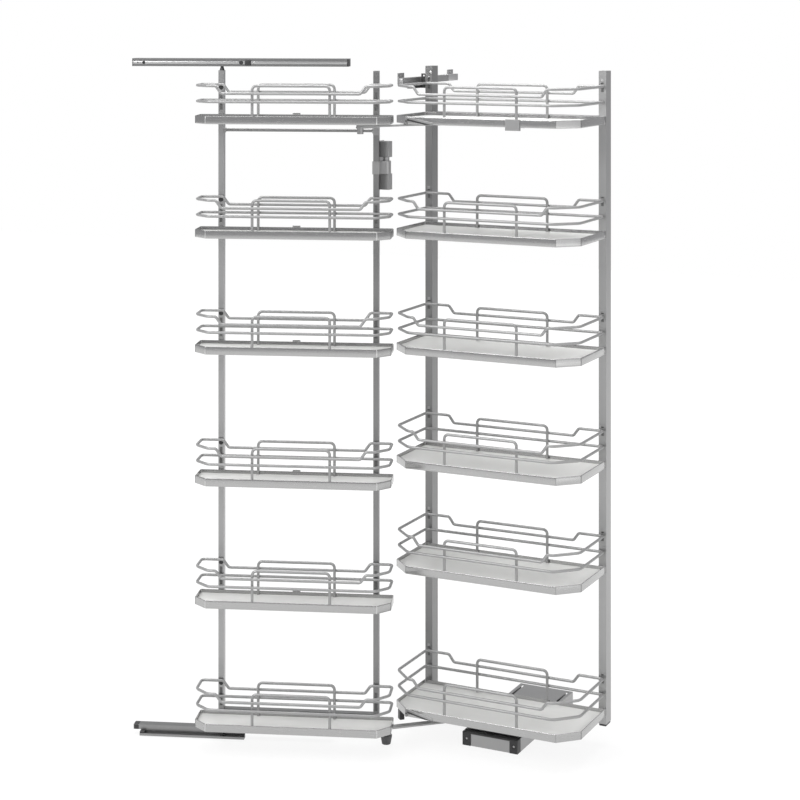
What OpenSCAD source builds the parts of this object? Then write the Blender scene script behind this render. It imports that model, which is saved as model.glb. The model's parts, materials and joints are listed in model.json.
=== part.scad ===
// Tandem pull-out larder for a tall 600 mm hinged-door cabinet.
// A swinging front unit of six shallow trays draws a sliding inner unit of six deep trays.
// Origin: the vertical pivot axis of the front unit, on the cabinet floor.
// +X runs across the cabinet from the hinge side, +Y runs into the cabinet, +Z is up.
// The stored pose is fully open. The front unit is drawn in its closed attitude and
// turned about the pivot axis by open_angle.

/* [Opening] */
// Angle through which the front unit is swung open, in degrees
open_angle = 160; // [110:5:165]
// Distance from the pivot axis to the inner face of the cabinet side
wall_gap = 25; // [25:1:40]
// Clearance between pieces that slide or turn past each other
run_gap = 0.3; // [0.2:0.05:0.6]

/* [Inner trays] */
// Length of an inner tray, across the cabinet
inner_len = 500; // [440:10:520]
// Depth of an inner tray, front to back
inner_depth = 214; // [190:2:240]
// Leg of the cut-off front corners of an inner tray
inner_cut = 48; // [30:2:60]
// Distance from the pivot axis to the hinge-side end of the inner trays
inner_left = 7; // [5:1:15]
// Front edge of the inner trays in front of the pivot axis when pulled out
inner_front = 3; // [0:1:6]
// Rim-top height of each inner tray above the cabinet floor
inner_levels = [98, 456, 720, 1006, 1297, 1584];

/* [Front trays] */
// Length of a front tray
front_len = 493; // [440:1:500]
// Depth of a front tray
front_depth = 96; // [80:2:110]
// Leg of the cut-off corners of a front tray
front_cut = 32; // [20:2:40]
// Overhang of the front trays past the pivot axis
front_over = 23; // [15:1:24]
// Rim-top height of each front tray above the cabinet floor
front_levels = [80, 386, 689, 1016, 1304, 1588];

/* [Tray rims and boards] */
// Height of the bright rim band
rim_h = 20; // [16:1:26]
// Sheet thickness of the rim
rim_t = 1.5; // [1:0.25:2]
// Width of the inward ledge that carries the board
ledge_w = 9; // [6:1:14]
// Thickness of the tray board
board_t = 10; // [8:0.5:12]
// Gap all round between the board and the rim
board_gap = 0.3; // [0.2:0.1:0.6]
// Width of the hook lugs behind the rim
lug_w = 7; // [6:0.5:8]
// Height of the hook lugs
lug_h = 8; // [6:1:10]
// How far a hook lug reaches into its post
lug_reach = 4; // [3:0.5:6]
// Width of the grip tab on the back rim of a front tray
tab_w = 20; // [12:1:30]
// Height of the grip tab above the rim
tab_h = 4; // [2:0.5:6]

/* [Wire railings] */
// Wire diameter
wire_d = 7; // [5:0.5:8]
// Height of the lower wire above the rim top
low_wire = 35.5; // [30:0.5:44]
// Height of the upper wire above the rim top, in the middle stretch
mid_wire = 56; // [50:1:64]
// Height of the raised ends and of the bridges above the rim top
high_wire = 75; // [72:1:84]
// Distance of the hoops from the tray outline, at the ends and cut corners
hoop_inset = 4; // [4:0.5:6]
// Gap between the bridge legs and the rim band
leg_gap = 0.2; // [0.1:0.1:1]
// Depth to which two crossing wires are fused by their weld
weld_depth = 0.8; // [0.4:0.1:1.2]
// Half the width of the bridges in the middle of each long side
bridge_half = 97; // [70:1:120]
// Bend radius allowance at the corners of the wires
wire_bend = 10; // [6:1:14]
// Length of the slanted step in the upper wire
step_run = 14; // [8:1:20]
// Distance of the step from the tray end, inner trays
inner_step = 70; // [62:1:90]
// Distance of the step from the tray end, front trays
front_step = 59; // [50:1:80]

/* [Posts] */
// Height of the top of the front posts and of the outer inner post
post_top = 1698; // [1690:1:1700]
// Height of the top of the inner post beside the guide rail
guide_post_top = 1704; // [1700:1:1706]
// Gap between the trays and the post faces, filled by the trays' hook blocks
post_setback = 7; // [6:0.5:8]
// Width by which a hook block is narrower than its post, on each side
hook_margin = 1; // [0.5:0.5:3]
// Wall thickness of the post tubes
post_t = 1.5; // [1.2:0.1:2]
// Width of an inner post
inner_post_w = 20; // [18:1:24]
// Depth of an inner post
inner_post_d = 35; // [30:1:38]
// Height of the foot of the inner posts
inner_post_foot = 57; // [54:1:62]
// Width of a front post
front_post_w = 14; // [12:1:16]
// Depth of a front post
front_post_d = 21; // [18:1:24]
// Distance from the pivot axis to the near side of the hinge-side front post
front_post_near = 16; // [16:1:20]
// Distance from the pivot axis to the far side of the outer front post
front_post_far = 425; // [400:1:440]
// Distance of the back of the front posts from the pivot axis
front_post_back = 6; // [6:0.5:8]
// Clearance round a hook lug in its slot
slot_gap = 1; // [0.5:0.25:1.5]
// Width of the hanging holes above each tray
hole_w = 7; // [5:0.5:8]
// Height of a hanging hole
hole_h = 11; // [8:1:14]
// Heights of the two hanging holes above the rim top
hole_rises = [61, 81];
// Height of the long slot in a front post, above each tray
long_slot_h = 46; // [30:1:50]
// Start of the long slot above the rim top
long_slot_rise = 10; // [6:1:16]

/* [Cross members] */
// Height of the square cross tubes
cross_h = 20; // [16:1:24]
// Setback of the cross tubes from the post faces
cross_inset = 2; // [1:0.5:4]
// Height of the front cross tube above the foot of the front posts
front_cross_lift = 4; // [0:1:8]
// Drop of the upper inner cross tube top below the rim top of its tray
upper_cross_drop = 0; // [0:1:4]
// Diameter of the front unit's cross rod
rod_d = 8; // [6:0.5:10]
// Height of the cross rod
rod_z = 1547; // [1540:1:1551]

/* [Pivot] */
// Diameter of the lower pivot pin
pivot_pin_d = 10; // [8:0.5:12]
// Running clearance on the radius of a pivot
pivot_gap = 0.05; // [0.02:0.01:0.1]
// Height of the pivot foot
foot_h = 22; // [18:1:26]
// Radius of the pivot foot at the floor
foot_r_low = 11; // [10:0.5:13]
// Radius of the pivot foot at its top
foot_r_top = 14.5; // [13:0.5:16]
// Radius of the screw hole in the middle of the pivot foot
foot_hole_r = 2.25; // [1.5:0.25:3]
// Thickness of the pivot foot below its bearing
foot_floor = 4; // [3:0.5:6]
// Thickness of the pivot arm plate
arm_t = 4; // [3:0.5:5]
// Diameter of the upper hinge pin
hinge_pin_d = 8; // [6:0.5:10]
// Height of the middle of the upper hinge
hinge_z = 1459; // [1440:1:1470]
// Height of each bearing lug of the upper hinge
hinge_lug_h = 40; // [30:1:44]
// Height of the gap between the two lugs
hinge_mouth = 42; // [36:1:50]
// Distance of the hinge lugs' outer face from the pivot axis
hinge_lug_out = 10.5; // [8:0.5:11]
// Distance of the hinge lugs' front face from the pivot axis
hinge_lug_front = 8; // [7:0.5:9]
// Distance of the hinge lugs' back face from the pivot axis
hinge_lug_back = 12.5; // [8:0.5:12.5]
// Thickness of the hinge back plate
hinge_plate_t = 3; // [2:0.5:4]
// Length of the hinge back plate
hinge_plate_len = 40; // [38:1:50]
// Height of the shoulder above the knuckle barrel
shoulder_h = 9; // [6:1:12]
// Wall of the collar that grips the post
collar_t = 2; // [1.5:0.25:3]
// Clearance between the collar and the post
collar_gap = 0.2; // [0.1:0.05:0.4]
// Hole radius of the wall screws
wall_hole_r = 2.5; // [2:0.25:3]
// Spacing of the two wall screws of the upper hinge
hinge_hole_pitch = 96; // [80:2:104]

/* [Link bars] */
// Width of a link bar
link_w = 20; // [16:1:22]
// Thickness of a link bar
link_t = 4; // [3:0.5:4]
// Height of the underside of the lower link bar
lower_link_z = 46; // [45.5:0.5:48]
// Height of the underside of the upper link bar
upper_link_z = 1559; // [1558:0.5:1560]
// Crank pin, distance along the front unit from the pivot axis
crank_along = 60; // [50:1:70]
// Crank pin, distance in front of the pivot axis
crank_out = 48; // [42:1:52]
// Diameter of the link pins
link_pin_d = 8; // [6:0.5:10]
// Radius of the link pin heads
link_head_r = 7; // [6:0.5:8]
// Thickness of the link pin heads
link_head_t = 2.5; // [2:0.5:3]
// Sideways bend of the upper link where it passes the hinge-side front post
link_bend = 17; // [16:0.5:20]
// Inner end of the links, distance in front of the inner posts
link_end_gap = 3; // [2:1:6]

/* [Base runner] */
// Width of the base runner
runner_w = 150; // [130:2:160]
// Distance from the middle of the inner unit to the runner's outer side
runner_outer = 69; // [60:1:80]
// Length of the base runner
runner_len = 384; // [360:4:400]
// Height of the base runner
runner_h = 34; // [30:1:34]
// Distance of the runner's front from the pivot axis
runner_front = 77; // [70:1:85]
// Sheet thickness of the runner housing
runner_t = 2; // [1.5:0.25:3]
// Length of the plastic end caps
cap_len = 20; // [10:1:20]
// Width of the plastic end caps
cap_w = 22; // [18:1:26]
// Thickness of the plastic deck between the end caps
cap_deck_t = 4; // [3:0.5:6]
// Width of the two slots in the cover
runner_slot_w = 6; // [5:0.5:8]
// Distance from the housing side to the slot
runner_slot_in = 9; // [8:0.5:12]
// Length of cover left beyond each end of a slot
runner_slot_end = 8; // [6:1:12]
// Width of each inner track
track_w = 18; // [16:1:20]
// Spacing of the floor screws across
floor_hole_x = 76; // [60:2:84]
// Spacing of the floor screws along
floor_hole_y = 330; // [300:2:340]
// Hole radius of the floor screws
floor_hole_r = 2.75; // [2:0.25:3]

/* [Carriage] */
// Length of the carriage
carriage_len = 165; // [150:1:170]
// Distance by which the carriage reaches behind the inner posts
carriage_past_posts = 9; // [6:1:12]
// Thickness of the carriage plate
carriage_t = 8; // [6:0.5:8]
// Gap between the cover and the carriage plate
carriage_lift = 2; // [1:0.5:2]
// Length of one glide shoe
shoe_len = 30; // [24:1:36]
// Width of the riser that carries the inner frame
riser_w = 78; // [60:2:90]

/* [Top guide] */
// Length of the top guide rail
guide_len = 340; // [320:2:350]
// Front end of the top guide rail, behind the pivot axis
guide_front = 115; // [114:1:120]
// Height of the underside of the guide rail
guide_z = 1658; // [1652:1:1662]
// Height of the guide rail section
guide_h = 17; // [14:1:18]
// Width of the guide rail section
guide_w = 14; // [13:0.5:14]
// Sheet thickness of the guide rail
guide_t = 2; // [1.5:0.25:2.5]
// Length of the wall plates at the ends of the guide rail
guide_plate_len = 34; // [28:1:40]
// Height of the wall plates
guide_plate_h = 20; // [18:1:24]
// Thickness of the wall plates
guide_plate_t = 3; // [2:0.5:4]
// Length of the guide shoe
guide_shoe_len = 70; // [60:1:76]

/* [Door rails] */
// Length of the upper door rail
door_rail_len = 556; // [540:1:560]
// Far end of both door rails, measured along the front unit from the pivot axis
door_rail_end = 649; // [640:1:650]
// Height of the underside of the upper door rail
door_rail_z = 1708; // [1706:1:1712]
// Height of the upper door rail
door_rail_h = 20; // [18:1:24]
// Sheet thickness of the door rails
door_rail_t = 2; // [1.5:0.25:2.5]
// Distance from the pivot axis back to the door's inner face
door_face = 16; // [14:1:18]
// Distance of the guide pins in front of the pivot axis
guide_pin_out = 13.5; // [13:0.5:15]
// Radius of the guide rollers
roller_r = 6; // [5:0.25:7]
// Distance of the outer screw holes from the ends of the door rails
rail_hole_in = 12; // [8:1:20]
// Length of the lower back bar
lower_bar_len = 514; // [480:2:516]
// Height of the lower back bar
lower_bar_h = 12; // [10:1:14]
// Height of the underside of the lower track
track_z = 3; // [2:0.5:4]
// Height of the underside of the lower back bar
lower_bar_z = 14; // [13:0.5:16]
// Length of the lower track
lower_track_len = 270; // [240:2:280]
// Distance from the far rail end to the lower track
lower_track_in = 19; // [14:1:24]
// Height of the front lip of the lower track
lip_h = 6; // [4:0.5:8]
// Length of each buffer in the lower track
buffer_len = 12; // [8:1:16]
// Height of each buffer
buffer_h = 8; // [6:0.5:9]

/* [Hidden] */
$fn = 48;
TRAYS = [0:5];

// Inner unit
inner_back = inner_depth - inner_front;
inner_right = inner_left + inner_len;
inner_post_xs = [inner_left - hook_margin, inner_right - inner_post_w + hook_margin];
inner_post_face = inner_back + post_setback;
inner_post_back = inner_post_face + inner_post_d;
inner_mid = inner_left + inner_len / 2;
upper_cross_z = inner_levels[5] - upper_cross_drop - cross_h;
// Front unit, in its own closed attitude
front_post_face = front_post_back + front_post_d;
front_tray_back = front_post_face + post_setback;
outer_post_near = front_post_far - front_post_w;
front_post_xs = [front_post_near, outer_post_near];
front_post_foot = lower_link_z + link_t + arm_t + 4;
arm_z = front_post_foot - arm_t;
// Links: crank pin and inner end in the open pose
crank_open = [
    crank_along * cos(open_angle) + crank_out * sin(open_angle),
    crank_out * cos(open_angle) - crank_along * sin(open_angle)
];
link_end = [inner_mid, inner_back - link_end_gap];
link_vec = link_end - crank_open;
link_len = norm(link_vec);
link_dir = atan2(link_vec[1], link_vec[0]);
// Runner and carriage
runner_x = inner_mid + runner_outer - runner_w;
carriage_z = runner_h + carriage_lift;
carriage_top = carriage_z + carriage_t;
carriage_back = inner_post_back + carriage_past_posts;
carriage_front = carriage_back - carriage_len;
runner_slot_xs = [runner_x + runner_slot_in, runner_x + runner_w - runner_slot_in - runner_slot_w];
// Guide rail
guide_x = -wall_gap + guide_plate_t;

wire_r = wire_d / 2;
leg_inset = rim_t + leg_gap + wire_r;
side_inset = leg_inset - wire_d + weld_depth;
ledge_t = rim_t;
board_top = -(rim_h - ledge_t - board_t);

module steel() { color([0.62, 0.63, 0.64]) children(); }
module bright() { color([0.80, 0.80, 0.81]) children(); }
module dark_plastic() { color([0.20, 0.20, 0.21]) children(); }
module board_white() { color([0.88, 0.88, 0.87]) children(); }

// The front unit's own frame, turned about the pivot axis
module swung() { rotate([0, 0, -open_angle]) children(); }

// Tray outline, back edge on y = 0 and cut corners at y = depth. The ends and the cuts are
// moved inwards by inset, the two long sides by side
function tray_points(len, depth, cut, inset, side) =
    let (c = cut + inset * sqrt(2))
    [
        [inset, side], [len - inset, side], [len - inset, depth - c + inset],
        [len - c + side, depth - side], [c - side, depth - side], [inset, depth - c + inset]
    ];

// Rim band with its ledge, and behind it a hook block and a lug for each post
module tray_rim(len, depth, cut, post_xs, post_w, with_tab) {
    difference() {
        translate([0, 0, -rim_h]) linear_extrude(rim_h) polygon(tray_points(len, depth, cut, 0, 0));
        translate([0, 0, ledge_t - rim_h])
            linear_extrude(rim_h) polygon(tray_points(len, depth, cut, rim_t, rim_t));
        translate([0, 0, -rim_h - 1])
            linear_extrude(rim_h) polygon(tray_points(len, depth, cut, ledge_w, ledge_w));
    }
    for (x = post_xs) {
        translate([x + hook_margin, -post_setback, -rim_h])
            cube([post_w - 2 * hook_margin, post_setback + rim_t, rim_h]);
        translate([x + post_w / 2 - lug_w / 2, -post_setback - lug_reach, -rim_h / 2 - lug_h / 2])
            cube([lug_w, lug_reach + rim_t, lug_h]);
    }
    if (with_tab)
        translate([len / 2 - tab_w / 2, 0, -rim_t]) cube([tab_w, rim_t, tab_h + rim_t]);
}

module tray_board(len, depth, cut) {
    edge = rim_t + board_gap;
    translate([0, 0, ledge_t - rim_h])
        linear_extrude(board_t) polygon(tray_points(len, depth, cut, edge, edge));
}

// Points of a bend at corner b between a and c, starting wire_bend before the corner
function bend(a, b, c, r) =
    let (s = b + (a - b) * (r / norm(a - b)), e = b + (c - b) * (r / norm(c - b)))
    [for (k = [0:2]) let (t = k / 2) s * (1 - t) * (1 - t) + b * (2 * t * (1 - t)) + e * (t * t)];

// Corners listed in rounds are bent, the others stay as single points
function bent_loop(p, rounds) =
    let (n = len(p))
    [for (i = [0:n - 1]) each (
        rounds[i] ? bend(p[(i + n - 1) % n], p[i], p[(i + 1) % n], wire_bend) : [p[i]]
    )];

function unit(v) = v / norm(v);

// Round wire along points p, as rings of eight corners square to the path
module wire(p, up, closed) {
    n = len(p);
    sides = 8;
    dirs = [for (i = [0:n - 1])
        closed ? unit(p[(i + 1) % n] - p[(i + n - 1) % n])
               : unit(p[min(i + 1, n - 1)] - p[max(i - 1, 0)])];
    rings = [for (i = [0:n - 1])
        let (side = unit(cross(up, dirs[i])), top = cross(dirs[i], side))
        for (k = [0:sides - 1])
            let (a = 360 * (k + 0.5) / sides) p[i] + side * (wire_r * cos(a)) + top * (wire_r * sin(a))];
    spans = closed ? n : n - 1;
    walls = [for (i = [0:spans - 1], k = [0:sides - 1])
        let (a = i * sides + k, b = i * sides + (k + 1) % sides,
             c = ((i + 1) % n) * sides + k, d = ((i + 1) % n) * sides + (k + 1) % sides)
        each [[a, c, b], [b, c, d]]];
    ends = closed ? [] : [
        [for (k = [0:sides - 1]) k],
        [for (k = [0:sides - 1]) (n - 1) * sides + sides - 1 - k]
    ];
    polyhedron(points = rings, faces = concat(walls, ends), convexity = 6);
}

module bridge(x, y) {
    corners = [
        [x - bridge_half, y, board_top], [x - bridge_half, y, high_wire],
        [x + bridge_half, y, high_wire], [x + bridge_half, y, board_top]
    ];
    path = [
        corners[0],
        each bend(corners[0], corners[1], corners[2], wire_bend),
        each bend(corners[1], corners[2], corners[3], wire_bend),
        corners[3]
    ];
    wire(path, [0, 1, 0], false);
}

// A bridge stands just inside the rim in the middle of each long side, and two hoops run round
// the outside of the bridges' legs
module tray_railing(len, depth, cut, step) {
    o = tray_points(len, depth, cut, hoop_inset, side_inset);
    lower = [for (q = o) [q[0], q[1], low_wire]];
    upper = [
        [o[0][0], o[0][1], high_wire],
        [step, o[0][1], high_wire], [step + step_run, o[0][1], mid_wire],
        [len - step - step_run, o[0][1], mid_wire], [len - step, o[0][1], high_wire],
        [o[1][0], o[1][1], high_wire], [o[2][0], o[2][1], high_wire], [o[3][0], o[3][1], high_wire],
        [len - step, o[3][1], high_wire], [len - step - step_run, o[3][1], mid_wire],
        [step + step_run, o[3][1], mid_wire], [step, o[3][1], high_wire],
        [o[4][0], o[4][1], high_wire], [o[5][0], o[5][1], high_wire]
    ];
    wire(bent_loop(lower, [1, 1, 1, 1, 1, 1]), [0, 0, 1], true);
    wire(bent_loop(upper, [1, 0, 0, 0, 0, 1, 1, 1, 0, 0, 0, 0, 1, 1]), [0, 0, 1], true);
    bridge(len / 2, leg_inset);
    bridge(len / 2, depth - leg_inset);
}

module at_inner_tray(k)
    translate([inner_left, inner_back, inner_levels[k]]) mirror([0, 1, 0]) children();
module at_front_tray(k)
    swung() translate([-front_over, front_tray_back, front_levels[k]]) children();

module inner_rim(k)
    bright() at_inner_tray(k) tray_rim(inner_len, inner_depth, inner_cut,
        [for (x = inner_post_xs) x - inner_left], inner_post_w, false);
module inner_board(k)
    board_white() at_inner_tray(k) tray_board(inner_len, inner_depth, inner_cut);
module inner_railing(k)
    bright() at_inner_tray(k) tray_railing(inner_len, inner_depth, inner_cut, inner_step);
module front_rim(k)
    bright() at_front_tray(k) tray_rim(front_len, front_depth, front_cut,
        [for (x = front_post_xs) x + front_over], front_post_w, true);
module front_board(k)
    board_white() at_front_tray(k) tray_board(front_len, front_depth, front_cut);
module front_railing(k)
    bright() at_front_tray(k) tray_railing(front_len, front_depth, front_cut, front_step);

// Post tube closed at the top; openings are [centre height, width, height] in its tray-side wall
module post(w, d, foot, top, face_y, into, openings) {
    back_y = into > 0 ? face_y : face_y - d;
    difference() {
        translate([0, back_y, foot]) cube([w, d, top - foot]);
        translate([post_t, back_y + post_t, foot - 1])
            cube([w - 2 * post_t, d - 2 * post_t, top - foot - post_t + 1]);
        for (o = openings)
            translate([w / 2 - o[1] / 2, face_y - 2 * post_t, o[0] - o[2] / 2])
                cube([o[1], 4 * post_t, o[2]]);
    }
}

function lug_slots(levels) =
    [for (z = levels) [z - rim_h / 2, lug_w + 2 * slot_gap, lug_h + 2 * slot_gap]];

module inner_post(x, top)
    steel() translate([x, 0, 0])
        post(inner_post_w, inner_post_d, inner_post_foot, top, inner_post_face, 1,
            concat(lug_slots(inner_levels),
                [for (z = inner_levels, r = hole_rises) [z + r + hole_h / 2, hole_w, hole_h]]));

module front_post(x)
    steel() swung() translate([x, 0, 0])
        post(front_post_w, front_post_d, front_post_foot, post_top, front_post_face, -1,
            concat(lug_slots(front_levels),
                [for (z = front_levels) [z + long_slot_rise + long_slot_h / 2, hole_w, long_slot_h]]));

module inner_cross_tubes() {
    x = inner_post_xs[0] + inner_post_w;
    span = inner_post_xs[1] - x;
    tube_d = inner_post_d - 2 * cross_inset;
    steel() for (z = [inner_post_foot, upper_cross_z]) translate([x, inner_post_face + cross_inset, z])
        difference() {
            cube([span, tube_d, cross_h]);
            translate([-1, post_t, post_t]) cube([span + 2, tube_d - 2 * post_t, cross_h - 2 * post_t]);
        }
}

module runner_carriage() {
    leg_w = runner_slot_w - 2 * run_gap;
    shoe_w = track_w - 2 * run_gap;
    shoe_z = runner_t + run_gap;
    shoe_h = runner_h - 2 * shoe_z;
    shoe_end = 10;
    plate_in = 4;
    riser_in = 4;
    shoe_ys = [carriage_front + shoe_end, carriage_back - shoe_end - shoe_len];
    steel() {
        translate([runner_x + plate_in, carriage_front, carriage_z])
            cube([runner_w - 2 * plate_in, carriage_len, carriage_t]);
        translate([inner_mid - riser_w / 2, inner_post_face + riser_in, carriage_top])
            cube([riser_w, inner_post_d - riser_in - cross_inset, inner_post_foot - carriage_top]);
        translate([link_end[0], link_end[1], carriage_top])
            cylinder(r = link_head_r + 2, h = lower_link_z - run_gap - carriage_top);
        for (side = [0, 1], y = shoe_ys) {
            translate([runner_slot_xs[side] + run_gap, y, shoe_z])
                cube([leg_w, shoe_len, carriage_z - shoe_z + 1]);
            translate([side == 0 ? runner_x + runner_t + run_gap
                                 : runner_x + runner_w - runner_t - run_gap - shoe_w, y, shoe_z])
                cube([shoe_w, shoe_len, shoe_h]);
        }
    }
}

// Key in the guide rail, block under the rail with an arm to the inner post, and a holed ear
module top_guide_shoe() {
    body_h = 12;
    key_overlap = 1;
    shoe_back_in = 18;
    ear_t = 4;
    ear_h = 38;
    ear_clear = 2;
    ear_hole_r = 3;
    shoe_y = inner_post_back - shoe_back_in - guide_shoe_len;
    key_w = guide_w - 2 * guide_t - 2 * run_gap;
    body_z = guide_z - body_h;
    arm_x = guide_x + guide_w;
    arm_w = inner_post_xs[0] - arm_x;
    dark_plastic() {
        translate([guide_x + guide_t + run_gap, shoe_y, guide_z - run_gap - key_overlap])
            cube([key_w, guide_shoe_len, guide_h - guide_t + key_overlap]);
        translate([guide_x + run_gap, shoe_y, body_z]) cube([guide_w, guide_shoe_len, body_h - run_gap]);
        translate([arm_x, inner_post_face, body_z])
            cube([arm_w, shoe_y + guide_shoe_len - inner_post_face, body_h - run_gap]);
        translate([arm_x + ear_clear, inner_post_face, body_z]) difference() {
            cube([arm_w - ear_clear, ear_t, ear_h]);
            translate([arm_w / 2, -1, ear_h - 2 * ear_hole_r]) rotate([-90, 0, 0])
                cylinder(r = ear_hole_r, h = ear_t + 2);
        }
    }
}

// Angle piece under the upper cross tube that carries the inner end of the upper link
module upper_link_bracket() {
    w = 34;
    t = 3;
    skirt = 8;
    nose = 11;
    seat_h = 1.5;
    back = inner_post_back - cross_inset;
    ledge_z = upper_link_z - run_gap - seat_h - t;
    steel() {
        translate([link_end[0] - w / 2, back - t, ledge_z - skirt])
            cube([w, t, upper_cross_z - ledge_z + skirt]);
        translate([link_end[0] - w / 2, link_end[1] - nose, ledge_z])
            cube([w, back - link_end[1] + nose, t]);
        translate([link_end[0], link_end[1], ledge_z])
            cylinder(r = link_head_r + 2, h = upper_link_z - run_gap - ledge_z);
    }
}

// On the front rims of the lowest and highest inner trays: a slanted strap each, a pad over the
// lower link, and a clip that hangs below the highest rim
module rim_brackets() {
    strap_t = 1.5;
    strap_w = 5;
    strap_run = 75;
    strap_slant = 6;
    pad_z = lower_link_z + link_t + run_gap + 1;
    pad_size = [16, 12];
    pad_in = 14;
    clip_from = 320;
    clip_w = 38;
    clip_t = 2.5;
    clip_drop = 8;
    clip_return = 8;
    clip_z = inner_levels[5] - rim_h - clip_drop;
    steel() {
        for (z = [inner_levels[0], inner_levels[5]])
            translate([inner_left + inner_cut, -inner_front, z])
                rotate([90, 0, 0]) linear_extrude(strap_t)
                    polygon([[0, 0], [0, -rim_h], [strap_w, -rim_h], [strap_w, -strap_slant],
                        [strap_run, -rim_h], [strap_run, strap_slant - rim_h]]);
        translate([inner_left + clip_from, -inner_front - clip_t, clip_z]) {
            cube([clip_w, clip_t, rim_h + clip_drop]);
            cube([clip_w, clip_return, clip_t]);
            for (x = [0, clip_w - clip_t]) translate([x, 0, 0]) cube([clip_t, clip_return, clip_drop]);
        }
    }
    dark_plastic() translate([inner_left + pad_in, inner_cut - inner_front - 2, pad_z])
        rotate([0, 0, -45]) translate([-pad_size[0] / 2, -pad_size[1] / 2, 0])
            cube([pad_size[0], pad_size[1], inner_levels[0] - rim_h - pad_z]);
}

// Square tube low down and round rod high up between the front posts
module front_cross_members() {
    x = front_post_near + front_post_w;
    span = outer_post_near - x;
    tube_d = front_post_d - 2 * cross_inset;
    steel() swung() {
        translate([x, front_post_back + cross_inset, front_post_foot + front_cross_lift]) difference() {
            cube([span, tube_d, cross_h]);
            translate([-1, post_t, post_t]) cube([span + 2, tube_d - 2 * post_t, cross_h - 2 * post_t]);
        }
        translate([x, front_post_back + front_post_d / 2, rod_z])
            rotate([0, 90, 0]) cylinder(d = rod_d, h = span);
    }
}

// Plate outline from the post to the crank pin
module crank_plate(from) {
    union() {
        polygon([
            [front_post_near - 2, from], [front_post_near + front_post_w + 2, from],
            [crank_along + 7, crank_out - 8], [crank_along - 5, crank_out + 10],
            [front_post_near - 2, front_post_face + 4]
        ]);
        translate([crank_along, crank_out]) circle(r = 11);
    }
}

module pivot_arm() {
    pivot_arm_side = 6;
    pin_collar_h = 5;
    pin_z = foot_floor + 1;
    steel() swung() {
        translate([0, 0, arm_z]) linear_extrude(arm_t) {
            crank_plate(front_post_back);
            circle(r = foot_r_top - 1);
            translate([0, -pivot_arm_side])
                square([front_post_near + front_post_w, front_post_back + 2 * pivot_arm_side]);
        }
        translate([0, 0, pin_z]) cylinder(d = pivot_pin_d, h = arm_z - pin_z + 1);
        translate([0, 0, foot_h + run_gap]) cylinder(d = pivot_pin_d + 8, h = pin_collar_h);
        translate([crank_along, crank_out, lower_link_z - run_gap - link_head_t]) {
            cylinder(d = link_pin_d, h = arm_z - lower_link_z + run_gap + link_head_t + 1);
            cylinder(r = link_head_r, h = link_head_t);
            translate([0, 0, link_head_t + link_t + 2 * run_gap])
                cylinder(r = link_head_r, h = arm_z - lower_link_z - link_t - run_gap);
        }
    }
}

module crank_arm() {
    plate_z = upper_link_z - run_gap - arm_t;
    flange_h = 18;
    flange_t = 3;
    boss_r = 8;
    boss_h = 14;
    steel() swung() {
        translate([0, 0, plate_z]) linear_extrude(arm_t) crank_plate(front_post_face);
        translate([front_post_near, front_post_face, plate_z - flange_h])
            cube([front_post_w, flange_t, flange_h + 1]);
        translate([crank_along, crank_out, plate_z - boss_h]) cylinder(r = boss_r, h = boss_h + 1);
        translate([crank_along, crank_out, plate_z]) {
            cylinder(d = link_pin_d, h = arm_t + link_t + 2 * run_gap + link_head_t);
            translate([0, 0, arm_t + link_t + 2 * run_gap]) cylinder(r = link_head_r, h = link_head_t);
        }
    }
}

module hinge_knuckle() {
    z0 = hinge_z - hinge_mouth / 2 + run_gap;
    body_h = hinge_mouth - 2 * run_gap - shoulder_h;
    barrel_r = 12;
    shoulder_r = 8;
    web = [-4, 18];
    outer = [front_post_w + 2 * (collar_t + collar_gap), front_post_d + 2 * (collar_t + collar_gap)];
    steel() swung() translate([0, 0, z0]) difference() {
        union() {
            cylinder(r = barrel_r, h = body_h);
            cylinder(r = shoulder_r, h = body_h + shoulder_h);
            translate([0, web[0], 0]) cube([front_post_near, web[1], body_h]);
            translate([front_post_near - collar_t - collar_gap, front_post_back - collar_t - collar_gap, 0])
                cube([outer[0], outer[1], body_h]);
        }
        translate([0, 0, -1]) cylinder(d = hinge_pin_d + 2 * pivot_gap, h = hinge_mouth + 2);
        translate([front_post_near - collar_gap, front_post_back - collar_gap, -1])
            cube([front_post_w + 2 * collar_gap, front_post_d + 2 * collar_gap, body_h + 2]);
    }
}

// Guide pins and rollers at the ends of the outer post
module door_rail_rollers() {
    neck_r = 4;
    seat_r = 6.5;
    cone_h = 8;
    plug_h = 6;
    upper_h = 9;
    lower_h = 7;
    upper_z = door_rail_z + 3;
    lower_z = track_z + door_rail_t + run_gap;
    x = outer_post_near + front_post_w / 2;
    dark_plastic() swung() translate([x, guide_pin_out, 0]) {
        translate([0, 0, post_top]) cylinder(r1 = seat_r, r2 = neck_r, h = cone_h);
        translate([0, 0, post_top]) cylinder(r = neck_r, h = upper_z + upper_h - post_top);
        translate([0, 0, upper_z]) cylinder(r = roller_r, h = upper_h);
        translate([0, 0, lower_z]) cylinder(r = roller_r, h = lower_h);
        translate([0, 0, lower_z]) cylinder(r = neck_r, h = front_post_foot - lower_z);
        translate([0, 0, front_post_foot - plug_h]) cylinder(r = seat_r, h = plug_h);
    }
}

// Offset of a strip's edge at point i of its middle line, mitred at the bends
function strip_edge(line, i, half) =
    let (
        last = len(line) - 1,
        a = line[max(i, 1)] - line[max(i, 1) - 1],
        b = line[min(i, last - 1) + 1] - line[min(i, last - 1)],
        across_a = unit([-a[1], a[0]]),
        across_b = unit([-b[1], b[0]])
    )
    (across_a + across_b) * (half / (1 + across_a * across_b));

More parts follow.
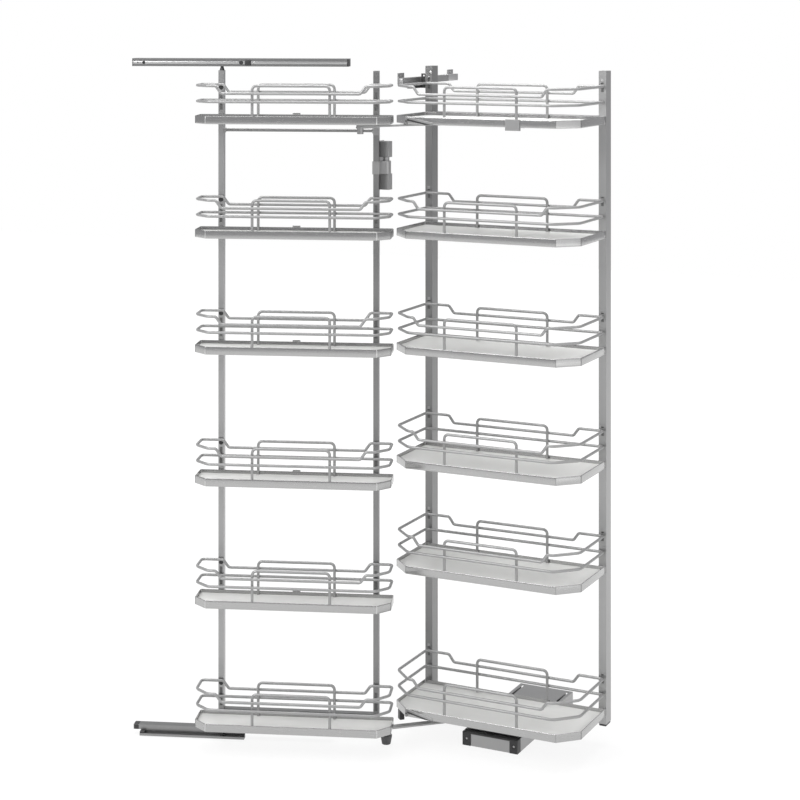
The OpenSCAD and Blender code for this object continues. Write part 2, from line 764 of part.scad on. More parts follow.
// Outline of a flat strip that is 2 * half wide along a bent middle line
function strip_points(line, half) = concat(
    [for (i = [0:len(line) - 1]) line[i] - strip_edge(line, i, half)],
    [for (i = [len(line) - 1:-1:0]) line[i] + strip_edge(line, i, half)]
);

// Flat bar from the crank pin to the inner unit, bent sideways by out between its start and
// middle; the inner pivot pin is riveted to it
module link_bar(z, out) {
    flat = 28;
    middle = out > 0 ? [[2 * out, -out], [2 * out + flat, -out], [6 * out + flat, 0]] : [];
    line = concat([[0, 0]], middle, [[link_len, 0]]);
    translate([crank_open[0], crank_open[1], z]) rotate([0, 0, link_dir]) {
        difference() {
            linear_extrude(link_t) {
                polygon(strip_points(line, link_w / 2));
                circle(d = link_w);
                translate([link_len, 0]) circle(d = link_w);
            }
            translate([0, 0, -1]) cylinder(d = link_pin_d + 2 * pivot_gap, h = link_t + 2);
        }
        translate([link_len, 0, 0]) cylinder(d = link_pin_d, h = link_t + 0.5);
    }
}
module lower_link() steel() link_bar(lower_link_z, 0);
module upper_link() steel() link_bar(upper_link_z, link_bend);

module upper_door_rail() {
    back_y = -door_face;
    channel_in = guide_pin_out - roller_r - run_gap - door_rail_t;
    channel_w = 2 * (roller_r + run_gap + door_rail_t);
    near = door_rail_end - door_rail_len;
    steel() swung() translate([near, 0, door_rail_z]) difference() {
        translate([0, back_y, 0]) cube([door_rail_len, channel_in + channel_w - back_y, door_rail_h]);
        translate([-1, channel_in + door_rail_t, -1])
            cube([door_rail_len + 2, channel_w - 2 * door_rail_t, door_rail_h - door_rail_t + 1]);
        translate([-1, back_y + door_rail_t, -1])
            cube([door_rail_len + 2, channel_in - back_y - door_rail_t, door_rail_h - door_rail_t + 1]);
        for (x = [rail_hole_in, door_rail_len / 2, door_rail_len - rail_hole_in])
            translate([x, back_y - 1, door_rail_h / 2]) rotate([-90, 0, 0])
                cylinder(r = wall_hole_r, h = door_rail_t + 2);
    }
}

module lower_door_rail() {
    channel_in = guide_pin_out - roller_r - run_gap;
    lip_y = guide_pin_out + roller_r + run_gap;
    track_x = door_rail_end - lower_track_in - lower_track_len;
    steel() swung() {
        translate([door_rail_end - lower_bar_len, -door_face, lower_bar_z]) difference() {
            cube([lower_bar_len, door_face + channel_in, lower_bar_h]);
            translate([-1, door_rail_t, -1])
                cube([lower_bar_len + 2, door_face + channel_in - 2 * door_rail_t,
                    lower_bar_h - door_rail_t + 1]);
            for (x = [rail_hole_in, lower_bar_len / 2, lower_bar_len - rail_hole_in])
                translate([x, -1, lower_bar_h / 2]) rotate([-90, 0, 0])
                    cylinder(r = wall_hole_r, h = door_rail_t + 2);
        }
        translate([track_x, channel_in - door_rail_t, track_z]) {
            cube([lower_track_len, door_rail_t, lower_bar_z - track_z + door_rail_t]);
            cube([lower_track_len, lip_y + door_rail_t - channel_in + door_rail_t, door_rail_t]);
        }
        translate([track_x, lip_y, track_z]) cube([lower_track_len, door_rail_t, lip_h]);
    }
}

module door_rail_buffers() {
    channel_in = guide_pin_out - roller_r - run_gap;
    track_x = door_rail_end - lower_track_in - lower_track_len;
    dark_plastic() swung() for (x = [track_x, track_x + lower_track_len - buffer_len])
        translate([x, channel_in, track_z + door_rail_t])
            cube([buffer_len, 2 * (roller_r + run_gap), buffer_h]);
}

module base_runner() {
    body_len = runner_len - cap_len;
    nose_h = runner_h - cap_deck_t;
    nose_in = 2;
    steel() translate([runner_x, runner_front + cap_len, 0]) difference() {
        union() {
            difference() {
                cube([runner_w, body_len, runner_h]);
                translate([runner_t, -1, runner_t])
                    cube([runner_w - 2 * runner_t, body_len + 2, runner_h - 2 * runner_t]);
            }
            for (x = [runner_t + track_w, runner_w - 2 * runner_t - track_w])
                translate([x, 0, 0]) cube([runner_t, body_len, runner_h]);
            translate([cap_w, nose_in - cap_len, 0]) {
                cube([runner_w - 2 * cap_w, runner_t, nose_h]);
                cube([runner_w - 2 * cap_w, cap_len, runner_t]);
            }
        }
        for (x = runner_slot_xs)
            translate([x - runner_x, runner_slot_end, runner_h - runner_t - 1])
                cube([runner_slot_w, body_len - 2 * runner_slot_end, runner_t + 2]);
        for (sx = [-1, 1], sy = [-1, 1])
            translate([runner_w / 2 + sx * floor_hole_x / 2, body_len / 2 + sy * floor_hole_y / 2, -1]) {
                cylinder(r = floor_hole_r, h = runner_t + 2);
                translate([0, 0, runner_h - runner_t]) cylinder(r = 2 * floor_hole_r, h = runner_t + 2);
            }
    }
}

// Plastic front of the runner: two cheeks and the deck between them
module runner_end_caps() {
    deck_in = 1;
    screw_r = 3.5;
    screw_depth = 4;
    dark_plastic() translate([runner_x, runner_front, 0]) difference() {
        union() {
            for (x = [0, runner_w - cap_w]) translate([x, 0, 0]) cube([cap_w, cap_len, runner_h]);
            translate([deck_in, 0, runner_h - cap_deck_t])
                cube([runner_w - 2 * deck_in, cap_len, cap_deck_t]);
        }
        for (x = [cap_w / 2, runner_w - cap_w / 2])
            translate([x, -1, runner_h / 2]) rotate([-90, 0, 0])
                cylinder(r = screw_r, h = screw_depth + 1);
    }
}

module top_guide_rail() {
    ear_h = 10;
    hole_drop = 6;
    plate_z = guide_z - (guide_plate_h - guide_h) / 2 + 1;
    steel() {
        translate([guide_x, guide_front, guide_z]) difference() {
            cube([guide_w, guide_len, guide_h]);
            translate([guide_t, -1, -1]) cube([guide_w - 2 * guide_t, guide_len + 2, guide_h - guide_t + 1]);
        }
        for (y = [guide_front, guide_front + guide_len - guide_plate_len])
            translate([-wall_gap, y, plate_z]) difference() {
                cube([guide_plate_t, guide_plate_len, guide_plate_h + ear_h]);
                translate([-1, guide_plate_len / 2, guide_plate_h + ear_h - hole_drop]) rotate([0, 90, 0])
                    cylinder(r = wall_hole_r, h = guide_plate_t + 2);
            }
    }
}

module hinge_bracket() {
    total_h = hinge_mouth + 2 * hinge_lug_h;
    lug_x = -wall_gap + hinge_plate_t;
    hole_in = 10;
    steel() {
        translate([-wall_gap, -hinge_lug_front, hinge_z - total_h / 2]) difference() {
            cube([hinge_plate_t, hinge_plate_len, total_h]);
            for (s = [-1, 1])
                translate([-1, hinge_plate_len - hole_in, total_h / 2 + s * hinge_hole_pitch / 2])
                    rotate([0, 90, 0]) cylinder(r = wall_hole_r, h = hinge_plate_t + 2);
        }
        for (z = [hinge_z - total_h / 2, hinge_z + hinge_mouth / 2]) translate([0, 0, z]) {
            translate([lug_x - 1, -hinge_lug_front, 0])
                cube([hinge_lug_out - lug_x + 1, hinge_lug_front + hinge_lug_back, hinge_lug_h]);
        }
        translate([0, 0, hinge_z - hinge_mouth / 2 - 1]) cylinder(d = hinge_pin_d, h = hinge_mouth + 2);
    }
}

module pivot_foot() {
    bore_r = pivot_pin_d / 2 + pivot_gap;
    band_h = 4;
    dark_plastic() rotate_extrude() polygon([
        [foot_hole_r, 0], [foot_r_low, 0], [foot_r_top, foot_h - band_h], [foot_r_top, foot_h],
        [bore_r, foot_h], [bore_r, foot_floor], [foot_hole_r, foot_floor]
    ]);
}

for (k = TRAYS) {
    inner_rim(k);
    inner_board(k);
    inner_railing(k);
    front_rim(k);
    front_board(k);
    front_railing(k);
}
inner_post(inner_post_xs[0], guide_post_top);  // inner_post_left
inner_post(inner_post_xs[1], post_top);  // inner_post_right
inner_cross_tubes();
runner_carriage();
top_guide_shoe();
upper_link_bracket();
rim_brackets();
front_post(front_post_xs[0]);  // hinge_post
front_post(front_post_xs[1]);  // outer_post
front_cross_members();
pivot_arm();
crank_arm();
hinge_knuckle();
door_rail_rollers();
lower_link();
upper_link();
upper_door_rail();
lower_door_rail();
door_rail_buffers();
base_runner();
runner_end_caps();
top_guide_rail();
hinge_bracket();
pivot_foot();
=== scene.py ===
import json
import math

import bmesh
import bpy
from mathutils import Matrix, Vector


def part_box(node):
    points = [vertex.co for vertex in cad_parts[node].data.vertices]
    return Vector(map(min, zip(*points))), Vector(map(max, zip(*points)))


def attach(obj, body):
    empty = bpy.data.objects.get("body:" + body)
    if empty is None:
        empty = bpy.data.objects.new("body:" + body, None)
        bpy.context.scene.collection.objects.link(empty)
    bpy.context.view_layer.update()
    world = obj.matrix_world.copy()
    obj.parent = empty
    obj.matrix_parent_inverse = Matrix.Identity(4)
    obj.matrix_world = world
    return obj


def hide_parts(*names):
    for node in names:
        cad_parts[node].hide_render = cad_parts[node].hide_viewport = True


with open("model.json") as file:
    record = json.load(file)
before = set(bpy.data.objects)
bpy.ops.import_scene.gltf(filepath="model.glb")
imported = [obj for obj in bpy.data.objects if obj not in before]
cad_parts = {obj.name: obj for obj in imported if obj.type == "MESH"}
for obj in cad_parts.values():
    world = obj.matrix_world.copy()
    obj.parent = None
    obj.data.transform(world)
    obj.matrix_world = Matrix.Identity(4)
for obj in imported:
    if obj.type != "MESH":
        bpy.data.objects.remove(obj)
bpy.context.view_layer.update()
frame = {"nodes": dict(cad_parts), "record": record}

# --- Driving sizes, in metres ---
# The front unit is modelled along +x and swung about the pivot axis to its open place
SWUNG = Matrix.Rotation(-math.radians(160), 4, "Z")
TRAYS = range(1, 7)

# Rims and boards; heights of a tray count from its rim's top
RIM_H = 0.020
RIM_T = 0.0015
RIM_BEND, LEAST_BEND = 0.005, 0.0004
LEDGE_W = 0.009
BOARD_TOP = -0.0085
BOARD_T = 0.010
BOARD_GAP = 0.0003
BOARD_CHAMFER = 0.0006
BOARD_BEND = 0.0035
LUG_W, LUG_H = 0.007, 0.008
LUG_REACH, LUG_ROOT = 0.004, 0.001
HOOK_DROP = 0.0002
TAB_W, TAB_H, TAB_IN = 0.020, 0.004, 0.0001

# The front trays' overhang past the pivot axis, and their back edge
FRONT_OVER = 0.023
FRONT_TRAY_BACK = 0.034

# Wire railings
WIRE_R = 0.0035
LOW_WIRE, MID_WIRE, HIGH_WIRE = 0.0355, 0.056, 0.075
HOOP_INSET = 0.004
SIDE_INSET = -0.001
LEG_INSET = 0.0052
STEP_RUN = 0.014
BRIDGE_HALF = 0.097
WIRE_BEND, CUT_BEND, STEP_BEND, BRIDGE_BEND = 0.010, 0.023, 0.008, 0.011
WELD_SWELL, WELD_SQUASH = 1.08, 0.9

# Posts and the openings in them
POST_SETBACK = 0.007
INNER_POST_XS = 0.006, 0.488
INNER_POST_W, INNER_POST_D = 0.020, 0.035
INNER_POST_FACE = 0.218
INNER_POST_FOOT = 0.057
FRONT_POST_XS = 0.016, 0.411
FRONT_POST_W = 0.014
FRONT_POST_FACE = 0.027
LUG_SLOT_W, LUG_SLOT_H = 0.009, 0.010
HOLE_W = 0.007
OPENING_PLATE_T = 0.0006

# Edge radii of the softened CAD nodes; on posts, edges longer than LONG_FROM have their own
PART_EDGE = 0.0004
POST_EDGE, POST_LONG_EDGE = 0.0003, 0.0016
LONG_FROM = 0.25

# Fittings: depth sunk into what carries them, and turned profiles. The rows of a profile are
# reach and rise, as shares of the radius and height, and the depth of the cross recess
SUNK = 0.0002
SCREW_SIDES, BUTTON_SIDES = 24, 28
SCREW_PROFILE = (
    (1.0, 0.0, 0), (1.0, 0.35, 0), (0.86, 0.75, 0), (0.62, 1.0, 0),
    (0.56, 1.0, 0.62), (0.46, 0.4, 0.62),
)
BUTTON_PROFILE = (
    (1.0, 0.0, 0), (1.0, 0.55, 0), (0.95, 0.85, 0), (0.86, 1.0, 0),
    (0.72, 0.95, 0), (0.4, 0.8, 0), (0.12, 0.78, 0),
)
FLAT_PROFILE = ((1.0, 0.0, 0), (1.0, 1.0, 0))
UP, MINUS_Y, PLUS_Y = (0, 0, 1), (0, -1, 0), (0, 1, 0)

# The photograph's viewpoint: focal length and horizon in its pixels
FRAME_PX = 800
FOCAL_PX = 1936
HORIZON_PX = 5.0
SENSOR_MM = 36
CAMERA_AT = (2.1754, -4.3755, 1.8636)
CAMERA_TURN = math.radians(26.03)


# --- Materials ---
def new_material(name, color, metallic, roughness):
    """A Principled material; returns it with its node tree and shader node."""
    mat = bpy.data.materials.new(name)
    mat.use_nodes = True
    tree = mat.node_tree
    shader = tree.nodes["Principled BSDF"]
    shader.inputs["Base Color"].default_value = (*color, 1)
    shader.inputs["Metallic"].default_value = metallic
    shader.inputs["Roughness"].default_value = roughness
    return mat, tree, shader


def add_noise(tree, scale, stretch=(1, 1, 1), detail=4):
    """Object-space noise, stretched along an axis where a surface is brushed or drawn."""
    coords = tree.nodes.new("ShaderNodeTexCoord")
    mapping = tree.nodes.new("ShaderNodeMapping")
    noise = tree.nodes.new("ShaderNodeTexNoise")
    mapping.inputs["Scale"].default_value = stretch
    noise.inputs["Scale"].default_value = scale
    noise.inputs["Detail"].default_value = detail
    tree.links.new(coords.outputs["Object"], mapping.inputs["Vector"])
    tree.links.new(mapping.outputs["Vector"], noise.inputs["Vector"])
    return noise


def map_range(tree, value, low, high, start, end):
    """A socket that runs from start to end as the value runs from low to high."""
    ramp = tree.nodes.new("ShaderNodeMapRange")
    ramp.inputs["From Min"].default_value = low
    ramp.inputs["From Max"].default_value = high
    ramp.inputs["To Min"].default_value = start
    ramp.inputs["To Max"].default_value = end
    tree.links.new(value, ramp.inputs["Value"])
    return ramp.outputs["Result"]


def vary_roughness(tree, noise, shader, low, high):
    """Spreads the roughness over a range with the middle part of the noise."""
    result = map_range(tree, noise.outputs["Fac"], 0.3, 0.7, low, high)
    tree.links.new(result, shader.inputs["Roughness"])


def vary_color(tree, noise, shader, dark, light):
    mix = tree.nodes.new("ShaderNodeMix")
    mix.data_type = "RGBA"
    mix.inputs["A"].default_value = (*dark, 1)
    mix.inputs["B"].default_value = (*light, 1)
    tree.links.new(noise.outputs["Fac"], mix.inputs["Factor"])
    tree.links.new(mix.outputs["Result"], shader.inputs["Base Color"])


def add_bump(tree, noise, shader, strength, distance):
    bump = tree.nodes.new("ShaderNodeBump")
    bump.inputs["Strength"].default_value = strength
    bump.inputs["Distance"].default_value = distance
    tree.links.new(noise.outputs["Fac"], bump.inputs["Height"])
    tree.links.new(bump.outputs["Normal"], shader.inputs["Normal"])


def plated_steel(name, level, roughness, stretch):
    """Plated steel: faint drawing lines in its gloss, slight tone changes."""
    mat, tree, shader = new_material(name, (level,) * 3, 1.0, roughness)
    lines = add_noise(tree, scale=60, stretch=stretch)
    vary_roughness(tree, lines, shader, low=roughness - 0.05, high=roughness + 0.08)
    light = (level * 1.06, level * 1.06, level * 1.05)
    vary_color(tree, lines, shader, dark=(level * 0.93,) * 3, light=light)
    add_bump(tree, lines, shader, strength=0.06, distance=0.0002)
    return mat


def satin_paint(name, level, metallic, roughness):
    """Silver-grey satin coat: fine grain and slight mottling."""
    mat, tree, shader = new_material(name, (level,) * 3, metallic, roughness)
    grain = add_noise(tree, scale=900, detail=2)
    tone = add_noise(tree, scale=14, stretch=(1, 1, 0.25))
    vary_color(tree, tone, shader, dark=(level * 0.94,) * 3, light=(level * 1.07,) * 3)
    vary_roughness(tree, grain, shader, low=roughness - 0.04, high=roughness + 0.06)
    add_bump(tree, grain, shader, strength=0.08, distance=0.0001)
    return mat


def moulded_plastic(name, color, roughness):
    """Fine-grained moulding."""
    mat, tree, shader = new_material(name, color, 0.0, roughness)
    grain = add_noise(tree, scale=1400, detail=3)
    vary_roughness(tree, grain, shader, low=roughness - 0.06, high=roughness + 0.08)
    add_bump(tree, grain, shader, strength=0.15, distance=0.0002)
    return mat


def board_finish(name):
    """Pale laminate with long, barely visible streaks."""
    mat, tree, shader = new_material(name, (0.74, 0.74, 0.72), metallic=0.0, roughness=0.38)
    streaks = add_noise(tree, scale=30, stretch=(0.5, 6, 6))
    vary_color(tree, streaks, shader, dark=(0.70, 0.70, 0.685), light=(0.76, 0.76, 0.745))
    vary_roughness(tree, streaks, shader, low=0.33, high=0.46)
    return mat


RIM_METAL = plated_steel("rim_plated_steel", level=0.45, roughness=0.20, stretch=(0.6, 0.6, 14))
WIRE_METAL = satin_paint("wire_satin_steel", level=0.36, metallic=0.5, roughness=0.40)
POST_METAL = satin_paint("post_satin_steel", level=0.40, metallic=0.85, roughness=0.36)
# A darker copy of the post steel, as painted shade: on the hinge-side posts of both units and on
# the front cross members
SHADED_POST_METAL = satin_paint("post_satin_steel_painted_shade", level=0.27, metallic=0.85, roughness=0.36)
FRAME_METAL = satin_paint("frame_satin_steel", level=0.39, metallic=0.85, roughness=0.34)
RAIL_METAL = satin_paint("rail_satin_steel", level=0.29, metallic=0.9, roughness=0.32)
BAND_METAL = satin_paint("rail_band_steel", level=0.54, metallic=0.9, roughness=0.36)
RUNNER_METAL = satin_paint("runner_satin_steel", level=0.37, metallic=0.85, roughness=0.36)
# Black moulded plastic; the same material paints shade inside the runner housing and shadows under
# the straps
DARK_PLASTIC_AND_SHADE = moulded_plastic("dark_plastic", (0.035, 0.035, 0.036), roughness=0.45)
GREY_PLASTIC = moulded_plastic("grey_plastic", (0.11, 0.11, 0.112), roughness=0.45)
# Dark grey that paints shade in the posts' openings and the dark reflection lines over the rims'
# bends
SHADE_AND_REFLECTION_PAINT = satin_paint("painted_shade_and_dark_reflection", level=0.15, metallic=0.6, roughness=0.5)
BOARD = board_finish("board_laminate")
SCREW_METAL = plated_steel("screw_zinc", level=0.62, roughness=0.28, stretch=(4, 4, 4))

# Every node that keeps its CAD shape, in the order in which it is softened
POSTS = ("inner_post_left", "inner_post_right", "hinge_post", "outer_post")
NODE_FINISH = {
    # Hinge-side posts and front cross members take the post steel's darker copy, as painted shade
    "inner_post_left": SHADED_POST_METAL, "inner_post_right": POST_METAL,
    "hinge_post": SHADED_POST_METAL, "outer_post": POST_METAL,
    "inner_cross_tubes": POST_METAL, "front_cross_members": SHADED_POST_METAL,
    "upper_door_rail": RAIL_METAL, "lower_door_rail": RAIL_METAL,
    "top_guide_rail": RUNNER_METAL, "base_runner": RUNNER_METAL,
    "runner_carriage": FRAME_METAL, "upper_link_bracket": FRAME_METAL,
    "pivot_arm": FRAME_METAL, "crank_arm": FRAME_METAL, "hinge_knuckle": FRAME_METAL,
    "hinge_bracket": FRAME_METAL, "lower_link": WIRE_METAL, "upper_link": WIRE_METAL,
    "top_guide_shoe": DARK_PLASTIC_AND_SHADE, "door_rail_rollers": DARK_PLASTIC_AND_SHADE,
    "door_rail_buffers": DARK_PLASTIC_AND_SHADE, "runner_end_caps": DARK_PLASTIC_AND_SHADE,
    "pivot_foot": GREY_PLASTIC, "rim_brackets": FRAME_METAL,
}
BODY_OF = {n: b for b, names in frame["record"]["behaviour"]["bodies"].items() for n in names}


# --- Mesh helpers ---
def finish_piece(name, bm, mat, body, place=None, sharp=35):
    """Turns a bmesh into a piece that rides on a body, smooth where faces meet gently."""
    if place:
        bm.transform(place)
    bmesh.ops.recalc_face_normals(bm, faces=bm.faces)
    for face in bm.faces:
        face.smooth = True
    for edge in bm.edges:
        edge.smooth = len(edge.link_faces) == 2 and edge.calc_face_angle() < math.radians(sharp)
    mesh = bpy.data.meshes.new(name)
    bm.to_mesh(mesh)
    bm.free()
    mesh.materials.append(mat)
    piece = bpy.data.objects.new(name, mesh)
    bpy.context.scene.collection.objects.link(piece)
    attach(piece, body)
    return piece


def soften(node, width, long_width=None):
    """A copy of a CAD node with rounded edges; its long edges can have their own radius."""
    bm = bmesh.new()
    bm.from_mesh(frame["nodes"][node].data)
    bmesh.ops.remove_doubles(bm, verts=bm.verts, dist=1e-6)
    bmesh.ops.dissolve_limit(bm, angle_limit=math.radians(1), verts=bm.verts, edges=bm.edges)
    piece = finish_piece(node + "_soft", bm, NODE_FINISH[node], BODY_OF[node])
    mesh = piece.data
    weights = mesh.attributes.new("bevel_weight_edge", "FLOAT", "EDGE")
    most = long_width or width
    for edge in mesh.edges:
        a, b = (mesh.vertices[i].co for i in edge.vertices)
        weights.data[edge.index].value = 1.0 if (a - b).length > LONG_FROM else width / most
    bevel = piece.modifiers.new("edges", "BEVEL")
    bevel.width = most
    bevel.segments = 3
    bevel.limit_method = "ANGLE"
    bevel.angle_limit = math.radians(40)
    bevel.harden_normals = True
    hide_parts(node)
    return piece


def darken(piece, inside):
    """Gives the faces whose centre passes a test the dark material of plastic parts, which also
    serves as painted shade.
    """
    piece.data.materials.append(DARK_PLASTIC_AND_SHADE)
    for face in piece.data.polygons:
        if inside(face.center):
            face.material_index = 1


def rounded(points, radius, steps=4):
    """A closed outline with its corners rounded by arcs of one radius, or one for each corner."""
    out = []
    radii = radius if isinstance(radius, list) else [radius] * len(points)
    for i, (corner, bend) in enumerate(zip(points, radii)):
        before, after = points[i - 1], points[(i + 1) % len(points)]
        u, v = (before - corner).normalized(), (after - corner).normalized()
        half = u.angle(v) / 2
        reach = bend / math.tan(half)
        centre = corner + (u + v).normalized() * (bend / math.sin(half))
        start, end = corner + u * reach - centre, corner + v * reach - centre
        sweep = math.pi - 2 * half
        for k in range(steps + 1):
            t = k / steps
            mix = (start * math.sin((1 - t) * sweep) + end * math.sin(t * sweep)) / math.sin(sweep)
            out.append(centre + mix)
    return out


def loft(bm, rings, closed=False):
    """Faces between rings of vertices, which go round to the first ring or get end caps."""
    for i in range(len(rings) if closed else len(rings) - 1):
        ring, after = rings[i], rings[(i + 1) % len(rings)]
        for k in range(len(ring)):
            n = (k + 1) % len(ring)
            bm.faces.new((ring[k], ring[n], after[n], after[k]))
    if not closed:
        bm.faces.new(rings[0])
        bm.faces.new(rings[-1])


def raised(bm, path, z):
    """A ring of vertices along a path, at a height."""
    return [bm.verts.new(p + Vector((0, 0, z))) for p in path]


def tube(bm, path, closed, sides=14):
    """Round wire along a path, with rings that turn no more than the path does."""
    count = len(path)
    rings = []
    across = None
    for i, point in enumerate(path):
        if closed:
            along = (path[(i + 1) % count] - path[i - 1]).normalized()
        else:
            along = (path[min(i + 1, count - 1)] - path[max(i - 1, 0)]).normalized()
        if across is None:
            across = along.orthogonal().normalized()
        across = (across - along * across.dot(along)).normalized()
        other = along.cross(across)
        rings.append([
            bm.verts.new(point + (across * math.cos(a) + other * math.sin(a)) * WIRE_R)
            for a in (2 * math.pi * k / sides for k in range(sides))
        ])
    shift = 0
    if closed:
        shift = min(range(sides), key=lambda s: (rings[-1][0].co - rings[0][s].co).length)
    for i in range(count if closed else count - 1):
        ring, after = rings[i], rings[(i + 1) % count]
        turn = shift if i == count - 1 else 0
        for k in range(sides):
            bm.faces.new((
                ring[k], ring[(k + 1) % sides],
                after[(k + 1 + turn) % sides], after[(k + turn) % sides],
            ))
    if not closed:
        bm.faces.new(rings[0])
        bm.faces.new(reversed(rings[-1]))


def add_block(bm, low, high, edge):
    """A block with bevelled edges between two corners."""
    low, high = Vector(low), Vector(high)
    size = high - low
    place = Matrix.Translation((low + high) / 2) @ Matrix.Diagonal((*size, 1))
    block = bmesh.ops.create_cube(bm, size=1, matrix=place)
    edges = {e for v in block["verts"] for e in v.link_edges}
    bmesh.ops.bevel(bm, geom=list(edges), offset=edge, segments=2, profile=0.5, affect="EDGES")


def add_turned(bm, at, toward, radius, height, profile, sides):
    """A turned form facing along a direction; its profile runs from its foot to its middle."""
    place = Matrix.Translation(at) @ Vector(toward).to_track_quat("Z", "Y").to_matrix().to_4x4()
    rings = []
    for reach, rise, recess in profile:
        ring = []
        for k in range(sides):
            a = 2 * math.pi * k / sides
            r = radius * reach * (1 - recess * math.sin(2 * a) ** 2)
            point = Vector((r * math.cos(a), r * math.sin(a), rise * height))
            ring.append(bm.verts.new(place @ point))
        rings.append(ring)
    loft(bm, rings)


def add_screw(bm, at, toward, radius, height):
    """A domed screw head with a cross recess."""
    add_turned(bm, at, toward, radius, height, SCREW_PROFILE, SCREW_SIDES)


def add_button(bm, at, toward, radius, height, profile=BUTTON_PROFILE):
    """A round button, dished in its middle unless its profile says otherwise."""
    add_turned(bm, at, toward, radius, height, profile, BUTTON_SIDES)


# --- Trays ---
class Tray:
    """Outline and place of one tray: x along it from the hinge-side end, y from its back edge."""

    def __init__(self, unit, number, length, depth, cut, step, hook_w, hooks):
        self.unit, self.number = unit, number
        self.length, self.depth, self.cut, self.step = length, depth, cut, step
        self.hook_w, self.hooks = hook_w, hooks
        self.body = f"{unit}_unit"
        low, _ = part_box(f"{unit}_rim_{number}")
        top = low.z + RIM_H
        if unit == "inner":
            mirror = Matrix.Scale(-1, 4, (0, 1, 0))
            self.place = Matrix.Translation((low.x, low.y + depth, top)) @ mirror
        else:
            self.place = SWUNG @ Matrix.Translation((-FRONT_OVER, FRONT_TRAY_BACK, top))
        self.level = self.place.translation.z

    def outline(self, inset, side=None):
        """The six corners, inset at the ends and cuts, and by side along the two long sides."""
        side = inset if side is None else side
        c = self.cut + inset * math.sqrt(2)
        right, front = self.length, self.depth
        return [Vector(p).to_3d() for p in (
            (inset, side), (right - inset, side), (right - inset, front - c + inset),
            (right - c + side, front - side), (c - side, front - side),
            (inset, front - c + inset),
        )]

    def piece(self, part, bm, mat, slot, sharp=35):
        name = f"{self.unit}_{part}_{self.number}"
        piece = finish_piece(name + "_look", bm, mat, self.body, self.place, sharp)
        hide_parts(name)
        return piece


# The upper hoop steps down at step from each end; hooks are the hook blocks' places along x
TRAY_FORMS = {
    "inner": {
        "length": 0.500, "depth": 0.214, "cut": 0.048, "step": 0.070,
        "hook_w": 0.018, "hooks": (0.0, 0.482),
    },
    "front": {
        "length": 0.493, "depth": 0.096, "cut": 0.032, "step": 0.059,
        "hook_w": 0.012, "hooks": (0.040, 0.435),
    },
}
TRAY_SETS = {unit: [Tray(unit, k, **form) for k in TRAYS] for unit, form in TRAY_FORMS.items()}

# Section of a rim as inset and height: a slightly crowned face, an inward ledge, the inner face
RIM_PROFILE = [
    (0.0012, -0.0001), (0.0006, -0.0004), (0.0004, -0.0010), (0.00022, -0.0040),
    (0.00006, -0.0075), (0.0, -0.0105), (0.00006, -0.0135), (0.00022, -0.0168),
    (0.0004, -0.0190), (0.0007, -0.0197), (0.0012, -0.0200), (LEDGE_W - 0.0003, -0.0200),
    (LEDGE_W, -0.0197), (LEDGE_W, -0.0188), (LEDGE_W - 0.0003, -0.0185), (0.0022, -0.0185),
    (0.0017, -0.0182), (0.0016, -0.0175), (0.0016, -0.0008), (0.0015, -0.0002),
]


def make_rim(tray):
    """Roll-formed band, bent round the cut corners, with its hook blocks, lugs and tab."""
    bm = bmesh.new()
    loft(bm, [
        raised(bm, rounded(tray.outline(inset), max(RIM_BEND - inset, LEAST_BEND)), z)
        for inset, z in RIM_PROFILE
    ], closed=True)
    lug_low, lug_high = -RIM_H / 2 - LUG_H / 2, -RIM_H / 2 + LUG_H / 2
    for x in tray.hooks:
        middle = x + tray.hook_w / 2
        add_block(
            bm, (x, -POST_SETBACK, -RIM_H), (x + tray.hook_w, RIM_T / 2, -HOOK_DROP),
            edge=0.0006,
        )
        add_block(
            bm, (middle - LUG_W / 2, -POST_SETBACK - LUG_REACH, lug_low),
            (middle + LUG_W / 2, -POST_SETBACK + LUG_ROOT, lug_high), edge=0.0004,
        )
    if tray.unit == "front":
        middle = tray.length / 2
        add_block(
            bm, (middle - TAB_W / 2, TAB_IN, -RIM_T), (middle + TAB_W / 2, RIM_T, TAB_H),
            edge=0.0005,
        )
    tray.piece("rim", bm, RIM_METAL, "bright_metal", sharp=50)


def make_board(tray):
    """Chamfered board that lies on the rim's ledge."""
    bm = bmesh.new()
    edge, bottom = RIM_T + BOARD_GAP, BOARD_TOP - BOARD_T
    section = [
        (edge + BOARD_CHAMFER, bottom), (edge, bottom + BOARD_CHAMFER),
        (edge, BOARD_TOP - BOARD_CHAMFER), (edge + BOARD_CHAMFER, BOARD_TOP),
    ]
    loft(bm, [
        raised(bm, rounded(tray.outline(inset), BOARD_BEND), z) for inset, z in section
    ])
    tray.piece("board", bm, BOARD, "board")


